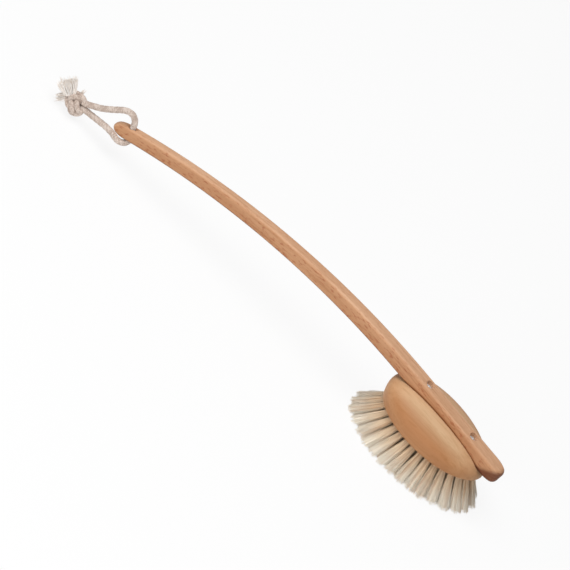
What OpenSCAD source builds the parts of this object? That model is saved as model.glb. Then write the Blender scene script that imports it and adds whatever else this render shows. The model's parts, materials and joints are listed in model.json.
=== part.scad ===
// Body dry brush with a bent wooden handle, an oval bristle head and a hanging cord.
// Millimetres. It stands on its bristle tips at z = 0, with the head at +X and +Z up.

/* [Handle] */
// length along the curve from the middle of the head to the hanging end
grip_len = 389; // [300:1:460]
// length from the middle of the head to the toe end
toe_len = 70; // [60:1:90]
// straight length on the grip side before the bend starts
seat_len = 40; // [30:1:60]
// radius of the bend, at the middle of the stick
bend_radius = 770; // [600:10:1500]
// slope of the straight stretch, which rises towards the grip
handle_pitch = 7; // [4:0.5:12]
// width at the toe end, from where the sides run straight to the hanging end
toe_w = 16.5; // [16.5:0.5:22]
// thickness on the head
head_t = 15.6; // [14:0.1:18]
// width at the hanging end
grip_w = 8.5; // [8.5:0.5:16]
// thickness at the hanging end, tapered from below
grip_t = 13.5; // [13.5:0.5:15.5]
// radius along the long edges
edge_r = 3; // [2:0.5:4]
// length of the rounded toe end, seen from the back
toe_nose = 14; // [8:1:16]
// how far the sides draw in to the toe end
toe_in = 7.5; // [4:0.5:8]
// length of the rounded hanging end, seen from the side
end_nose = 13; // [6:1:13]
// how far the back and the underside draw in to the hanging end
end_in = 6.5; // [3:0.5:6.5]
// radius of the toe end seen from the side, and of the hanging end seen from the back
end_round = 3.5; // [2:0.5:4]

/* [Head block] */
// length of the oval
block_len = 114.5; // [110:0.5:120]
// width of the oval
block_wid = 72; // [70:1:86]
// height of the widest line at the middle of the length
rim_h = 7; // [6:0.5:9]
// height of the dome over the widest line
dome_h = 16.5; // [15:0.5:20]
// slope of the widest line, which rises towards the grip
back_slope = 5; // [0:0.5:5]
// power of the dome's profile, where 2 is an ellipse
dome_power = 2.5; // [2:0.1:3]
// how far the side curves in, from its widest line down to the bristle face
under_in = 2; // [0.5:0.1:2.5]
// height of the handle's seat over the bristle face, at the middle of the seat
seat_h = 16.7; // [15:0.1:18]
// distance of the seat's middle from the block's middle, towards the toe
seat_x = -0.7; // [-4:0.1:4]
// clearance of the handle in its seat
seat_gap = 0.05; // [0.02:0.01:0.2]

/* [Bristles] */
// free length of the bristles, straight down
bristle_len = 32; // [28:1:45]
// length of the oval that holds tufts
field_len = 100; // [96:1:104]
// width of the oval that holds tufts
field_wid = 63; // [60:1:64]
// tufts in the outer ring
outer_tufts = 30; // [24:2:32]
// tufts in the middle ring
middle_tufts = 22; // [16:2:24]
// tufts in the core
core_tufts = 12; // [8:2:12]
// diameter of a tuft at its root
tuft_d = 5; // [4:0.1:5.4]
// diameter of a tuft at its tips
tip_d = 10; // [6:0.5:11]
// lean of the tufts at the two ends of the oval
fan_long = 38; // [10:1:40]
// lean of the tufts at the two sides of the oval
fan_wide = 24; // [5:1:26]
// how far the field of tips lies towards the grip
tip_shift = 2; // [0:0.5:4]
// most that a strand is cut short of the standing surface
trim = 2; // [0:0.5:4]
// thickness of the slice of the face that each ring is set in
slice_t = 2; // [1.5:0.1:2.5]
// length of a tuft's root over that slice
root_len = 3; // [2:0.1:3.5]
// clearance of a root in its hole
root_gap = 0.1; // [0.05:0.01:0.2]
// gap between the slices, and round the outer one
slice_gap = 0.5; // [0.4:0.1:0.8]
// height of the flat wire anchor
anchor_h = 1.2; // [0.8:0.1:1.5]
// thickness of the flat wire anchor
anchor_t = 0.5; // [0.3:0.1:0.8]

/* [Screws] */
// distance between the two screws
screw_gap = 58; // [50:1:64]
// diameter of the flat head
screw_head_d = 8; // [6.5:0.1:9]
// diameter of the shank
screw_d = 4; // [3.8:0.1:4.6]
// whole length
screw_len = 20; // [18.5:0.5:20.5]
// depth of the head under the handle's back
screw_sink = 2.6; // [0.5:0.1:3]
// clearance of the shank and the head
screw_gap_r = 0.1; // [0.05:0.01:0.3]
// length of each arm of the cross recess, tip to tip
recess_len = 3.6; // [2.5:0.1:3.6]
// width of each arm of the cross recess
recess_w = 1; // [0.6:0.1:1]
// depth of the cross recess
recess_depth = 1.4; // [0.8:0.1:1.8]

/* [Cord] */
// diameter of the cord
cord_d = 5.5; // [4:0.1:6]
// diameter of the hole in the handle
cord_hole_d = 6.4; // [6.2:0.1:7]
// depth of the countersink at both ends of the hole
hole_bevel = 2; // [0.5:0.5:2.5]
// length of the countersink along the handle
hole_slot = 12; // [8:0.5:14]
// distance of the hole from the hanging end
hole_from_end = 17; // [14:1:25]
// length of the knot along the loop
knot_len = 19; // [15:0.5:20]
// diameter of the knot across the loop
knot_d = 20; // [16:0.5:21]
// length of the long frayed tail from the knot
tail_len = 13; // [8:1:18]
// diameter of the long tail at the knot
tail_d = 9; // [6:0.5:10]
// diameter of the long tail at its frayed tip
fray_d = 17; // [10:0.5:18]
// length of the short frayed tail from the knot
stub_len = 10; // [5:0.5:12]
// diameter of the short tail at its frayed tip
stub_d = 6; // [4:0.5:7]

/* [Hidden] */
// points on a quarter of the handle's outline, rings on each rounded end, and lengths between rings
corner_steps = 5;
end_steps = 8;
seat_step = 30;
bend_step = 12;
// rounded corners stay a little smaller than the half section
corner_share = 0.98;
// points round the block and rings up its dome
block_sides = 48;
dome_rings = 9;
under_rings = 4;
// strands in each tuft, and the share of its sector that a strand fills
strands = 6;
strand_share = 0.84;
// each slice of the face is as wide as the one before it, down to the line in the middle of the core
ring_step = field_wid / 6;
tuft_counts = [outer_tufts, middle_tufts, core_tufts];
// extra length of cutters past a surface
past = 1;
cord_sides = 10;
route_steps = 3;

face_z = bristle_len;
hole_s = grip_len - hole_from_end;
hole_depth = root_len + anchor_h + 0.3;
cone_h = (screw_head_d - screw_d) / 2;

// routes of the cord's two stretches, from the middle of the hole: [towards the end, towards the back]
upper_route = [[0, 0], [0, 5], [-0.3, 10], [0, 14.5], [3, 18.8], [8, 20], [13.5, 18.5], [22, 14], [32, 9.2],
    [41, 6.4], [46, cord_d - 0.5], [51.5, cord_d - 1.2]];
lower_route = [[0, 0], [0, -5], [0.5, -7.6], [3, -9.6], [7, -9.6], [11, -8.8], [15, -7.9], [19, -6.6], [24, -5.2],
    [31, -3.8], [39, -2.4], [46, -1.5], [51.5, -1.3]];
// the middle of the knot in the same plane, and the lean of each tail towards the back
knot_at = [57.5, -1.2];
tail_lean = 43;
stub_lean = -15;

function lerp(a, b, k) = a + (b - a) * k;
function flatten(lists) = [for (one = lists) each one];

// The handle's middle line runs straight on the head and then along an arc.
function slope(s) = handle_pitch - max(0, s - seat_len) / bend_radius * 180 / PI;
function mid_x(s) = seat_x + sin(handle_pitch) * head_t / 2 - min(s, seat_len) * cos(handle_pitch)
    - bend_radius * (sin(handle_pitch) - sin(slope(s)));
function mid_z(s) = face_z + seat_h + cos(handle_pitch) * head_t / 2 + min(s, seat_len) * sin(handle_pitch)
    + bend_radius * (cos(slope(s)) - cos(handle_pitch));
function on_handle(s, y, h) = [mid_x(s) + sin(slope(s)) * h, y, mid_z(s) + cos(slope(s)) * h];

// Width and thickness of the stick, and how far its middle rises as the taper comes off the underside.
function wide(s) = lerp(toe_w, grip_w, (s + toe_len) / (grip_len + toe_len));
function thick(s) = lerp(head_t, grip_t, max(0, s - seat_len) / (grip_len - seat_len));
function rise(s) = (head_t - thick(s)) / 2;
// How far a section draws in at distance d from an end, on an oval of that length and depth.
function end_inset(d, length, depth) = d >= length ? 0 : depth * (1 - sqrt(max(0, 1 - (1 - d / length) ^ 2)));
function half_w(s) = wide(s) / 2
    - max(end_inset(s + toe_len, toe_nose, toe_in), end_inset(grip_len - s, end_round, end_round));
function half_t(s) = thick(s) / 2
    - max(end_inset(s + toe_len, end_round, end_round), end_inset(grip_len - s, end_nose, end_in));

// Outline of a rounded rectangle, as [across, up].
function outline(hw, ht, r) = [
    for (c = [0:3], k = [0:corner_steps])
        let (a = 90 * c + 90 * k / corner_steps,
            sx = c == 0 || c == 3 ? 1 : -1,
            sy = c < 2 ? 1 : -1)
        [sx * (hw - r) + r * cos(a), sy * (ht - r) + r * sin(a)]
];
function section(s) = let (hw = half_w(s), ht = half_t(s))
    outline(hw, ht, min(edge_r, corner_share * hw, corner_share * ht));
function handle_ring(s) = [for (p = section(s)) on_handle(s, -p[0], p[1] + rise(s))];

// Places along the handle that carry a ring, closest together on the rounded ends.
function end_places(length) = [for (k = [0:end_steps]) length * (1 - cos(90 * k / end_steps))];
toe_places = end_places(toe_nose);
tip_places = end_places(end_nose);
seat_rings = ceil((toe_len - toe_nose + seat_len) / seat_step);
bend_rings = ceil((grip_len - end_nose - seat_len) / bend_step);
handle_places = concat(
    [for (d = toe_places) -toe_len + d],
    [for (k = [1:seat_rings]) lerp(toe_nose - toe_len, seat_len, k / seat_rings)],
    [for (k = [1:bend_rings - 1]) lerp(seat_len, grip_len - end_nose, k / bend_rings)],
    [for (k = [end_steps:-1:0]) grip_len - tip_places[k]]
);
handle_rings = [for (s = handle_places) handle_ring(s)];

// Triangles that join rings of n points, where each ring runs anticlockwise seen from the last one.
function skin_faces(rings, n) = concat(
    [for (i = [1:n - 2]) [0, i, i + 1]],
    [for (j = [0:rings - 2], i = [0:n - 1], half = [0, 1])
        let (a = j * n + i, b = j * n + (i + 1) % n)
        half == 0 ? [a, a + n, b + n] : [a, b + n, b]],
    [for (i = [1:n - 2]) [(rings - 1) * n, (rings - 1) * n + i + 1, (rings - 1) * n + i]]
);

module skin(rings) {
    polyhedron(points = flatten(rings), faces = skin_faces(len(rings), len(rings[0])), convexity = 10);
}

// The block's widest line is an oval in a sloped plane. Its side curves in below that line, and its dome above.
block_angles = [for (i = [0:block_sides - 1]) 360 * i / block_sides];
function rim_z(x) = rim_h - x * tan(back_slope);
function under_ring(v) = [for (a = block_angles)
        let (x = (block_len / 2 - under_in * v ^ 2) * cos(a), y = (block_wid / 2 - under_in * v ^ 2) * sin(a))
        [x, y, face_z + rim_z(x) * (1 - v)]];
function dome_ring(t) = let (k = cos(t) ^ (2 / dome_power), up = sin(t) ^ (2 / dome_power))
    [for (a = block_angles)
        let (x = k * block_len / 2 * cos(a))
        [x, k * block_wid / 2 * sin(a), face_z + rim_z(x) + dome_h * up]];
block_rings = concat(
    [for (j = [0:under_rings - 1]) under_ring(1 - j / under_rings)],
    [for (j = [0:dome_rings]) dome_ring(86 * j / dome_rings)]
);

// Rings of tufts: half lengths of the oval at ring r, where r = 0.5 is the middle of the outer ring.
function oval(r) = [max(field_len / 2 - ring_step * r, 0), max(field_wid / 2 - ring_step * r, 0)];
// Lengths along a quarter of an oval, each with its angle.
function quarter(half) = [for (i = 0, along = 0; i <= 30;
        along = along + norm([half[0] * sin(3 * i + 1.5), half[1] * cos(3 * i + 1.5)]), i = i + 1)
    [along, 3 * i]];
// A point on an oval, with even steps along it.
function on_oval(half, turn) = let (a = turn % 360,
        part = a <= 90 ? a : a <= 180 ? 180 - a : a <= 270 ? a - 180 : 360 - a,
        table = quarter(half),
        t = lookup(part / 90 * table[30][0], table))
    [(a <= 90 || a >= 270 ? 1 : -1) * half[0] * cos(t), (a <= 180 ? 1 : -1) * half[1] * sin(t)];
function shrunk(half, d) = [max(half[0] - d, 0), max(half[1] - d, 0)];

function tuft_angle(ring, j) = 360 * (j + 0.5) / tuft_counts[ring];
function tuft_at(ring, j) = on_oval(oval(ring + 0.5), tuft_angle(ring, j));
function cell_corners(ring, j) = let (n = tuft_counts[ring],
        outside = shrunk(oval(ring), slice_gap / 2),
        inside = ring == 2 ? oval(3) : shrunk(oval(ring + 1), -slice_gap / 2))
    [on_oval(outside, 360 * j / n), on_oval(outside, 360 * (j + 1) / n),
        on_oval(inside, 360 * (j + 1) / n), on_oval(inside, 360 * j / n)];

// Corners of a tuft at its root or tip: one in six points outwards from the oval.
function turned(c, r, a) = [c[0] + r * cos(a), c[1] + r * sin(a)];
function outward(c) = atan2(c[1] / field_wid ^ 2, c[0] / field_len ^ 2);
function tip_at(c) = [c[0] - tip_shift + bristle_len * tan(fan_long * 2 * c[0] / field_len),
    c[1] + bristle_len * tan(fan_wide * 2 * c[1] / field_wid)];
function cut_short(ring, j, k) = trim * max(0, sin(137 * (j + 11 * ring) + 79 * k));

// The three corners of strand k, drawn in from its sector of the tuft.
function strand_corners(c, r, k) = let (a = outward(c),
        sector = [c, turned(c, r, a + 360 * k / strands), turned(c, r, a + 360 * (k + 1) / strands)],
        middle = (sector[0] + sector[1] + sector[2]) / 3)
    [for (p = sector) lerp(middle, p, strand_share)];
function lifted(points, z) = [for (p = points) [p[0], p[1], z]];

// Points of one cell of a ring: face corners, back corners, tuft centre, root corners, root top, strands.
function cell_points(ring, j) = let (c = tuft_at(ring, j),
        corners = cell_corners(ring, j),
        hex = [for (k = [0:strands - 1]) turned(c, tuft_d / 2, outward(c) + 360 * k / strands)])
    concat(lifted(corners, face_z), lifted(corners, face_z + slice_t), lifted([c], face_z),
        lifted(hex, face_z), lifted(hex, face_z + slice_t), lifted(hex, face_z + slice_t + root_len),
        flatten([for (k = [0:strands - 1])
            concat(lifted(strand_corners(c, tuft_d / 2, k), face_z),
                lifted(strand_corners(tip_at(c), tip_d / 2, k), cut_short(ring, j, k)))]));
cell_size = 9 + 9 * strands;
// Triangles between four corners at q and six at h, seen from the side that the corners run anticlockwise.
function frame_faces(q, h) = [[q, q + 1, h], [q + 1, h + 1, h], [q + 1, h + 2, h + 1], [q + 1, q + 2, h + 2],
    [q + 2, h + 3, h + 2], [q + 2, q + 3, h + 3], [q + 3, h + 4, h + 3], [q + 3, h + 5, h + 4], [q + 3, q, h + 5],
    [q, h, h + 5]];
function reversed(faces) = [for (f = faces) [f[2], f[1], f[0]]];
function strand_faces(c, a, b, s) = flatten([for (e = [[c, a, 0, 1], [a, b, 1, 2], [b, c, 2, 0]])
        let (p = e[0], q = e[1], u = s + e[2], v = s + e[3])
        [[p, q, v], [p, v, u], [u, v, v + 3], [u, v + 3, u + 3]]]);
function cell_faces(o, closed) = let (h = o + 9, g = h + strands, t = g + strands, s = t + strands) concat(
    frame_faces(o, h),
    reversed(frame_faces(o + 4, g)),
    flatten([for (k = [0:strands - 1]) let (m = (k + 1) % strands)
        concat(strand_faces(o + 8, h + k, h + m, s + 6 * k),
            [[s + 6 * k + 3, s + 6 * k + 4, s + 6 * k + 5]],
            [[g + k, t + k, t + m], [g + k, t + m, g + m]])]),
    [for (k = [1:strands - 2]) [t, t + k + 1, t + k]],
    [[o, o + 4, o + 5], [o, o + 5, o + 1]],
    closed ? [] : [[o + 3, o + 2, o + 6], [o + 3, o + 6, o + 7]]
);

// The part is centred over its own length, without the cord.
tip_reach = max([for (j = [0:outer_tufts - 1], k = [0:strands - 1], p = strand_corners(tip_at(tuft_at(0, j)), tip_d / 2, k))
    p[0]]);
toe_reach = max([for (p = flatten(handle_rings)) p[0]]);
grip_reach = min([for (p = flatten(handle_rings)) p[0]]);
centre_x = (max(tip_reach, toe_reach, block_len / 2) + grip_reach) / 2;

module in_frame() {
    translate([-centre_x, 0, 0])
        children();
}

// Stands children on the handle's middle line at s, with their own z along the back's normal.
module on_line(s) {
    translate(on_handle(s, 0, 0))
        rotate([0, slope(s), 0])
            children();
}

module screw_holes() {
    for (side = [-1, 1])
        on_line(side * screw_gap / 2)
            union() {
                translate([0, 0, -head_t / 2 - past])
                    cylinder(d = screw_d + 2 * screw_gap_r, h = head_t + 2 * past, $fn = 32);
                translate([0, 0, head_t / 2 - screw_sink - cone_h - screw_gap_r])
                    cylinder(d1 = screw_d + 2 * screw_gap_r, d2 = screw_head_d + 2 * screw_gap_r, h = cone_h, $fn = 48);
                translate([0, 0, head_t / 2 - screw_sink - screw_gap_r])
                    cylinder(d = screw_head_d + 2 * screw_gap_r, h = screw_sink + screw_gap_r + past, $fn = 48);
            }
}

// A countersink that opens out along the handle only, a little narrower than the hole.
slot_wid = 0.9 * cord_hole_d;
function slot_ring(k) = let (long = lerp(slot_wid, hole_slot, k))
    [for (i = [0:31]) [long / 2 * cos(11.25 * i), slot_wid / 2 * sin(11.25 * i), (k - 1) * hole_bevel]];

module cord_hole() {
    on_line(hole_s)
        union() {
            cylinder(d = cord_hole_d, h = head_t + grip_t, center = true, $fn = 32);
            translate([0, 0, rise(hole_s) + half_t(hole_s)])
                skin([slot_ring(0), slot_ring(1 + past / hole_bevel)]);
            translate([0, 0, rise(hole_s) - half_t(hole_s)])
                rotate([180, 0, 0])
                    skin([slot_ring(0), slot_ring(1 + past / hole_bevel)]);
        }
}

module handle() {
    color("#c8895a")
        in_frame()
            difference() {
                skin(handle_rings);
                screw_holes();
                cord_hole();
            }
}

// The seat follows the handle's own section, along its straight stretch.
function seat_ring(s) = [for (p = outline(wide(s) / 2 + seat_gap, head_t / 2 + seat_gap, edge_r + seat_gap))
    [-s, -p[0], p[1]]];

module seat_cut() {
    on_line(0)
        skin([seat_ring(-block_len), seat_ring(block_len)]);
}

module pilot_holes() {
    for (side = [-1, 1])
        on_line(side * screw_gap / 2)
            translate([0, 0, head_t / 2 - screw_sink - screw_len - screw_gap_r - 0.5])
                cylinder(d = screw_d + 2 * screw_gap_r, h = screw_len, $fn = 32);
}

module tuft_holes() {
    for (ring = [0:2], j = [0:tuft_counts[ring] - 1])
        translate(concat(tuft_at(ring, j), face_z + slice_t - past))
            cylinder(d = tuft_d + 2 * root_gap, h = hole_depth + past, $fn = 24);
}

// The pocket that the slices of tufts lie in.
module face_pocket() {
    half = shrunk(oval(0), -slice_gap / 2);
    translate([0, 0, face_z - past])
        linear_extrude(slice_t + past)
            polygon([for (j = [0:outer_tufts - 1]) on_oval(half, 360 * j / outer_tufts)]);
}

module head_block() {
    color("#d9ac78")
        in_frame()
            difference() {
                skin(block_rings);
                seat_cut();
                pilot_holes();
                face_pocket();
                tuft_holes();
            }
}

module screw(side) {
    in_frame()
        on_line(side * screw_gap / 2)
            translate([0, 0, head_t / 2 - screw_sink])
                difference() {
                    rotate_extrude($fn = 48)
                        polygon([[0, 0], [screw_head_d / 2, 0], [screw_d / 2, -cone_h], [screw_d / 2, -screw_len + screw_d],
                            [0, -screw_len]]);
                    for (turn = [0, 90])
                        rotate(turn)
                            translate([0, 0, (past - recess_depth) / 2])
                                cube([recess_len, recess_w, past + recess_depth], center = true);
                }
}

module screw_toe() {
    color("#c9ced2")
        screw(-1);
}

module screw_heel() {
    color("#c9ced2")
        screw(1);
}

module tuft_ring(ring) {
    n = tuft_counts[ring];
    in_frame()
        polyhedron(points = flatten([for (j = [0:n - 1]) cell_points(ring, j)]),
            faces = flatten([for (j = [0:n - 1]) cell_faces(cell_size * j, ring == 2)]), convexity = 20);
}

module bristles_outer() {
    color("#d8cdb8")
        tuft_ring(0);
}

module bristles_middle() {
    color("#d8cdb8")
        tuft_ring(1);
}

module bristles_core() {
    color("#d8cdb8")
        tuft_ring(2);
}

// One flat wire across the top of each tuft hole.
module tuft_anchors() {
    color("#b5b8ba")
        in_frame()
            for (ring = [0:2], j = [0:tuft_counts[ring] - 1])
                translate(concat(tuft_at(ring, j), face_z + slice_t + root_len + anchor_h / 2 + root_gap))
                    cube([tuft_d, anchor_t, anchor_h], center = true);
}

// A smooth line through the route's points.
function spline(p, i, t) = let (a = p[max(i - 1, 0)], b = p[i], c = p[i + 1], d = p[min(i + 2, len(p) - 1)])
    b + t * ((c - a) / 2 + t * (a - 2.5 * b + 2 * c - d / 2 + t * (1.5 * (b - c) + (d - a) / 2)));
function smooth(p) = concat([for (i = [0:len(p) - 2], k = [0:route_steps - 1]) spline(p, i, k / route_steps)],
    [p[len(p) - 1]]);
function heading(p, i) = let (d = p[min(i + 1, len(p) - 1)] - p[max(i - 1, 0)]) d / norm(d);
// A ring of the cord, square to the route, which lies in the plane of the loop.
function cord_ring(p, i) = let (d = heading(p, i))
    [for (k = [0:cord_sides - 1]) let (a = 360 * k / cord_sides, across = cord_d / 2 * cos(a))
        [-p[i][0] - across * d[1], -cord_d / 2 * sin(a), p[i][1] - across * d[0]]];

module cord(route) {
    line = smooth(route);
    in_frame()
        on_line(hole_s)
            skin([for (i = [0:len(line) - 1]) cord_ring(line, i)]);
}

module cord_upper() {
    color("#e3d6c3")
        cord(upper_route);
}

module cord_lower() {
    color("#e3d6c3")
        cord(lower_route);
}

module at_knot() {
    in_frame()
        on_line(hole_s)
            translate([-knot_at[0], 0, knot_at[1]])
                children();
}

module cord_knot() {
    color("#e3d6c3")
        at_knot()
            scale([knot_len / knot_d, 1, 1])
                sphere(d = knot_d, $fn = 32);
}

// A frayed end of the cord, which widens from the knot to its tip.
module tail(lean, length, root_d, tip_d) {
    color("#e9e0d2")
        at_knot()
            rotate([0, lean - 90, 0])
                translate([0, 0, knot_len / 2 - 2])
                    cylinder(d1 = root_d, d2 = tip_d, h = length + 2, $fn = 32);
}

module cord_tail() {
    tail(tail_lean, tail_len, tail_d, fray_d);
}

module cord_stub() {
    tail(stub_lean, stub_len, cord_d, stub_d);
}

handle();
head_block();
screw_toe();
screw_heel();
bristles_outer();
bristles_middle();
bristles_core();
tuft_anchors();
cord_upper();
cord_lower();
cord_knot();
cord_tail();
cord_stub();
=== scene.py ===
"""Long-handled body dry brush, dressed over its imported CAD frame.

The stick, the head and the screws keep the CAD shapes. The bristle tufts and the
knotted hanging cord are modelled here hair by hair and strand by strand.
"""

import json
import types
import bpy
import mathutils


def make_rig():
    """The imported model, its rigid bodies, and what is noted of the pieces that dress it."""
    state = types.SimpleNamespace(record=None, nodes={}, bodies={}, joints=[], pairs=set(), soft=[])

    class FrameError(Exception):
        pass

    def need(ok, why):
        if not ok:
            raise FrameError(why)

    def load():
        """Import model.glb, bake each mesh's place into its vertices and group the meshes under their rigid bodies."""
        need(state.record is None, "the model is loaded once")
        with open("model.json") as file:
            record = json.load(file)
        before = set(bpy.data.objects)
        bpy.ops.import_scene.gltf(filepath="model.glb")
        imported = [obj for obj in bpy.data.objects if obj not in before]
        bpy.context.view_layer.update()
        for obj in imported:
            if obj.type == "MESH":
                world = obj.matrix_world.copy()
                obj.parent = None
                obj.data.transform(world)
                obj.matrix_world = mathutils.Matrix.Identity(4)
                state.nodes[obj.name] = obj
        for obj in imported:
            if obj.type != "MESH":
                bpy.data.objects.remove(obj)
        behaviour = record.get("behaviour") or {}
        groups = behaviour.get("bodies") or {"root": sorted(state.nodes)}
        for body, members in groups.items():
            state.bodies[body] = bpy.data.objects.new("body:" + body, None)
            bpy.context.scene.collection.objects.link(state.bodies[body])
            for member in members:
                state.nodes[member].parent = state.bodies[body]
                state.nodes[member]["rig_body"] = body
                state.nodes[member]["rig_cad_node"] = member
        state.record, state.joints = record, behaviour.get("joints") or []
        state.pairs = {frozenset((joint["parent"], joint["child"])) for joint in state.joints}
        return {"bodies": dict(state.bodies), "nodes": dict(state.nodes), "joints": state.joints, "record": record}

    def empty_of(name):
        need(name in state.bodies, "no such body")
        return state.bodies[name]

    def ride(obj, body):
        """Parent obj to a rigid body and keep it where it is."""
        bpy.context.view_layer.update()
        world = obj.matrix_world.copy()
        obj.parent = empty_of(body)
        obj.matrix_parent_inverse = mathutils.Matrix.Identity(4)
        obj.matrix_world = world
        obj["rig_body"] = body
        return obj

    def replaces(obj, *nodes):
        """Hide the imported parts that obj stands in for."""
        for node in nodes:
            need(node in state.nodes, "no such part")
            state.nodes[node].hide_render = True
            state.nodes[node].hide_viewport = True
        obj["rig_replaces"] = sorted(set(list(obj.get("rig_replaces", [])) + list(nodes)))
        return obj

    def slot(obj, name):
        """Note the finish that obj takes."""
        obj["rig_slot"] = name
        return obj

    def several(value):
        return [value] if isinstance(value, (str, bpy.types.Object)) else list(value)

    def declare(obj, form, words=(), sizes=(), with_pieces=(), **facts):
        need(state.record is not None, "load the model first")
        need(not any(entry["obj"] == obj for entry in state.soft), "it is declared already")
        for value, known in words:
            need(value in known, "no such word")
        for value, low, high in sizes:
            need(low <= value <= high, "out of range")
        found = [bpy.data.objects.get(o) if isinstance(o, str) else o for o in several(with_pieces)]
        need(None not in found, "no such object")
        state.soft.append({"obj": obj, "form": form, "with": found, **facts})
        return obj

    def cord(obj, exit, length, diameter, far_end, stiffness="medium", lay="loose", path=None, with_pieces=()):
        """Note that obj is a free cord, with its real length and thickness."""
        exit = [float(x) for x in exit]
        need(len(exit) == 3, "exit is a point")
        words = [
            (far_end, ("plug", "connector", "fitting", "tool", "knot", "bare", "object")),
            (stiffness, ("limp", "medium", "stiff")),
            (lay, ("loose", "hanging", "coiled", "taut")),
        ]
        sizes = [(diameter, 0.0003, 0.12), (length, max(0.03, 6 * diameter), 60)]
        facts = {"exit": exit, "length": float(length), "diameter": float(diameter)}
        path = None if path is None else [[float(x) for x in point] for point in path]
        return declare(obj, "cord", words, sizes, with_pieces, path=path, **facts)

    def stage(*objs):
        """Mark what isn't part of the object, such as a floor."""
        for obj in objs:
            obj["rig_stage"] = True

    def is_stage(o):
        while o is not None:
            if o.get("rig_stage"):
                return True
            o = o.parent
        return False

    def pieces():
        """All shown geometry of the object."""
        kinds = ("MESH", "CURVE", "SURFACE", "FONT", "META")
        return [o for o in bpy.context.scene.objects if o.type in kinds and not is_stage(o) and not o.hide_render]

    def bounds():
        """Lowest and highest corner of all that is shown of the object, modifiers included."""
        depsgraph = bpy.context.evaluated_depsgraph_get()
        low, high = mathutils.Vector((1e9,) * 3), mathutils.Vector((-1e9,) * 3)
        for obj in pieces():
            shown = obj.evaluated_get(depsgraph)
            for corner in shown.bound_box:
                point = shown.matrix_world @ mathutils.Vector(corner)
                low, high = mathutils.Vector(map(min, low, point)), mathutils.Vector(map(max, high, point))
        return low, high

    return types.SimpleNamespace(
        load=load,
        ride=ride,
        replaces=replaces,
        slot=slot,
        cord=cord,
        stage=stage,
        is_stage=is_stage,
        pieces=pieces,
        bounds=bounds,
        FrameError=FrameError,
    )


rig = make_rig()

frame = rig.load()

import json
import logging
import math
import random
from dataclasses import dataclass
from enum import Enum
from typing import Any, ClassVar, Sequence, Union

import bmesh
import bpy
from mathutils import Matrix, Vector

CAD_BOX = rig.bounds()
MM = 0.001
HEAD_X = 156.965 * MM
FACE_Z = 32 * MM
SEAM_GAP = 0.002 * MM
TINY = 1e-9
LOG = logging.getLogger("dry_brush")

Colour = tuple[float, float, float, float]
Place = tuple[float, float, float]
Span = tuple[float, float]
WHITE: Colour = (1.0, 1.0, 1.0, 1.0)


class Body(Enum):
    """The bodies that pieces ride on."""

    BRUSH = "brush"
    LOOP = "hanging_loop"


class Slot(Enum):
    """The record's material slots that pieces take."""

    STICK = "handle_wood"
    HEAD = "block_wood"
    SCREW = "screw_steel"
    FIBRE = "plant_fibre"
    CORD = "cotton_cord"


class Grain(Enum):
    """Where a wood pattern takes its coordinates from."""

    STRAIGHT = "object"
    BENT = "grain"


class Spread(Enum):
    """How a darkening spreads: outwards over an oval, or along a slant."""

    OVAL = "LENGTH"
    SLANT = "DOT_PRODUCT"


def tone(code: str) -> Colour:
    """Turns a screen colour into a linear one.

    Args:
        code: Six hex digits, as read off a screen.

    Returns:
        Linear red, green and blue, and an alpha of 1.
    """
    parts = [int(code[i:i + 2], 16) / 255 for i in (0, 2, 4)]
    red, green, blue = [p / 12.92 if p < 0.04045 else ((p + 0.055) / 1.055) ** 2.4 for p in parts]
    return red, green, blue, 1.0


class Wire:
    """One output socket of a node tree, with arithmetic that adds Math nodes."""

    def __init__(self, tree: "Tree", socket: bpy.types.NodeSocket) -> None:
        """Keeps the socket and the tree that it belongs to."""
        self.tree = tree
        self.socket = socket

    def __add__(self, other: "Value") -> "Wire":
        """Adds a number or another wire."""
        return self.tree.math("ADD", self, other)

    def __rsub__(self, other: "Value") -> "Wire":
        """Takes this wire away from a number."""
        return self.tree.math("SUBTRACT", other, self)

    def __mul__(self, other: "Value") -> "Wire":
        """Multiplies by a number or another wire."""
        return self.tree.math("MULTIPLY", self, other)

    __radd__ = __add__
    __rmul__ = __mul__


Value = Union[Wire, float, Sequence[float]]


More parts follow.
